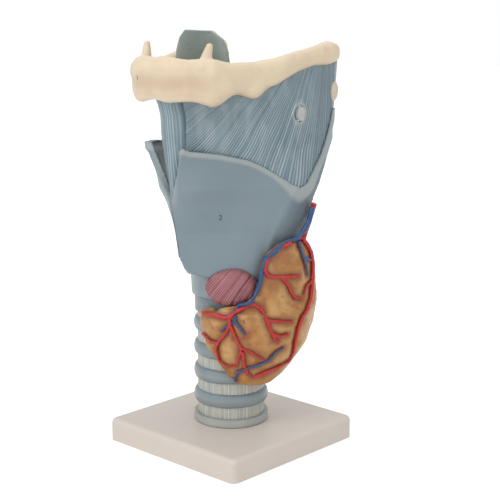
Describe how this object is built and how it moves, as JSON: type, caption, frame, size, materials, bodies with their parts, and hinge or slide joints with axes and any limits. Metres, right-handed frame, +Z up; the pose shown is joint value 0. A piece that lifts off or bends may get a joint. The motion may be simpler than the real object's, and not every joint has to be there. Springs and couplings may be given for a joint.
{
  "type": "larynx model",
  "caption": "Larynx teaching model on a square base, with a lift-off thyroid cartilage half, a lift-off gland half with its vessels, a tilting epiglottis and turning vocal cartilages.",
  "frame": {"origin": "middle of the base's underside, on the axis of the trachea", "axes": "+Z up along the trachea, -Y towards the front of the throat, +X towards its left side"},
  "size_m": [0.1, 0.1104, 0.2344],
  "materials": {
    "base_plastic": "satin",
    "steel": "satin",
    "cartilage": "satin paint",
    "ligament": "painted fibres",
    "bone": "satin paint",
    "epiglottis_plastic": "satin paint",
    "muscle": "satin paint",
    "fold_plastic": "satin paint",
    "fat": "satin paint",
    "gland_plastic": "satin paint",
    "artery_red": "gloss paint",
    "vein_blue": "gloss paint"
  },
  "bodies": {
    "stand": {"base_plate": "base_plastic", "screw_cap": "base_plastic", "base_screw": "steel", "base_washer": "steel", "trachea_end_plug": "ligament", "trachea_tube": "ligament", "tracheal_collar": "cartilage", "tracheal_ring_1": "cartilage", "tracheal_ring_2": "cartilage", "tracheal_ring_3": "cartilage", "tracheal_ring_4": "cartilage", "cricoid_cartilage": "cartilage", "thyroid_lamina_left": "cartilage", "cricothyroid_muscle_left": "muscle", "horn_peg_left": "steel", "horn_peg_right": "steel", "thyrohyoid_membrane_left": "ligament", "thyrohyoid_membrane_right": "ligament", "lateral_thyrohyoid_ligament_left": "ligament", "lateral_thyrohyoid_ligament_right": "ligament", "triticeal_cartilage_left": "bone", "triticeal_cartilage_right": "bone", "laryngeal_nerve_stub_left": "ligament", "laryngeal_nerve_stub_right": "ligament", "lesser_horn_left": "bone", "lesser_horn_right": "bone", "arytenoid_pin_left": "steel", "arytenoid_pin_right": "steel", "vestibular_fold_left": "fold_plastic", "vestibular_fold_right": "fold_plastic", "fold_pin_left": "steel", "fold_pin_right": "steel", "rear_cricoarytenoid_muscle_left": "muscle", "rear_cricoarytenoid_muscle_right": "muscle", "hyoid_bone": "bone", "median_thyrohyoid_ligament": "ligament", "cricothyroid_ligament": "ligament", "epiglottis_pin": "steel", "epiglottic_fat_pad": "fat", "commissure_block": "fat", "gland_peg": "steel"},
    "gland": {"gland_lobe_left": "gland_plastic", "superior_thyroid_artery": "artery_red", "isthmus_artery": "artery_red", "superior_thyroid_vein": "vein_blue", "inferior_thyroid_veins": "vein_blue"},
    "right_half": {"thyroid_lamina_right": "cartilage"},
    "epiglottis": {"epiglottis": "epiglottis_plastic"},
    "arytenoid_left": {"arytenoid_cartilage_left": "cartilage", "corniculate_cartilage_left": "cartilage"},
    "arytenoid_right": {"arytenoid_cartilage_right": "cartilage", "corniculate_cartilage_right": "cartilage"},
    "vocal_fold_left": {"vocal_fold_left": "fold_plastic"},
    "vocal_fold_right": {"vocal_fold_right": "fold_plastic"}
  },
  "joints": [
    {"name": "right_half_lift", "type": "slide", "parent": "stand", "child": "right_half", "axis": [-1, 0, 0], "range_m": [0, 0.08]},
    {"name": "gland_lift", "type": "slide", "parent": "stand", "child": "gland", "axis": [0.8, -0.6, 0], "range_m": [0, 0.08]},
    {"name": "epiglottis_tilt", "type": "hinge", "parent": "stand", "child": "epiglottis", "pos_m": [0, -0.02606, 0.14182], "axis": [-1, 0, 0], "range_deg": [0, 50]},
    {"name": "arytenoid_left_turn", "type": "hinge", "parent": "stand", "child": "arytenoid_left", "pos_m": [0.0096, 0.0154, 0.1243], "axis": [0, 0, 1], "range_deg": [-12, 25]},
    {"name": "arytenoid_right_turn", "type": "hinge", "parent": "stand", "child": "arytenoid_right", "pos_m": [-0.0096, 0.0154, 0.1243], "axis": [0, 0, 1], "range_deg": [-26, 13]},
    {"name": "vocal_fold_left_turn", "type": "hinge", "parent": "stand", "child": "vocal_fold_left", "pos_m": [0.0028, -0.02808, 0.1249], "axis": [0, 0, 1], "range_deg": [-10, 5]},
    {"name": "vocal_fold_right_turn", "type": "hinge", "parent": "stand", "child": "vocal_fold_right", "pos_m": [-0.0028, -0.02808, 0.1249], "axis": [0, 0, 1], "range_deg": [-5, 10]}
  ],
  "couplings": [
    {"joint": "arytenoid_right_turn", "follows": "arytenoid_left_turn", "ratio": -1},
    {"joint": "vocal_fold_left_turn", "follows": "arytenoid_left_turn", "ratio": -0.36},
    {"joint": "vocal_fold_right_turn", "follows": "arytenoid_left_turn", "ratio": 0.36}
  ]
}
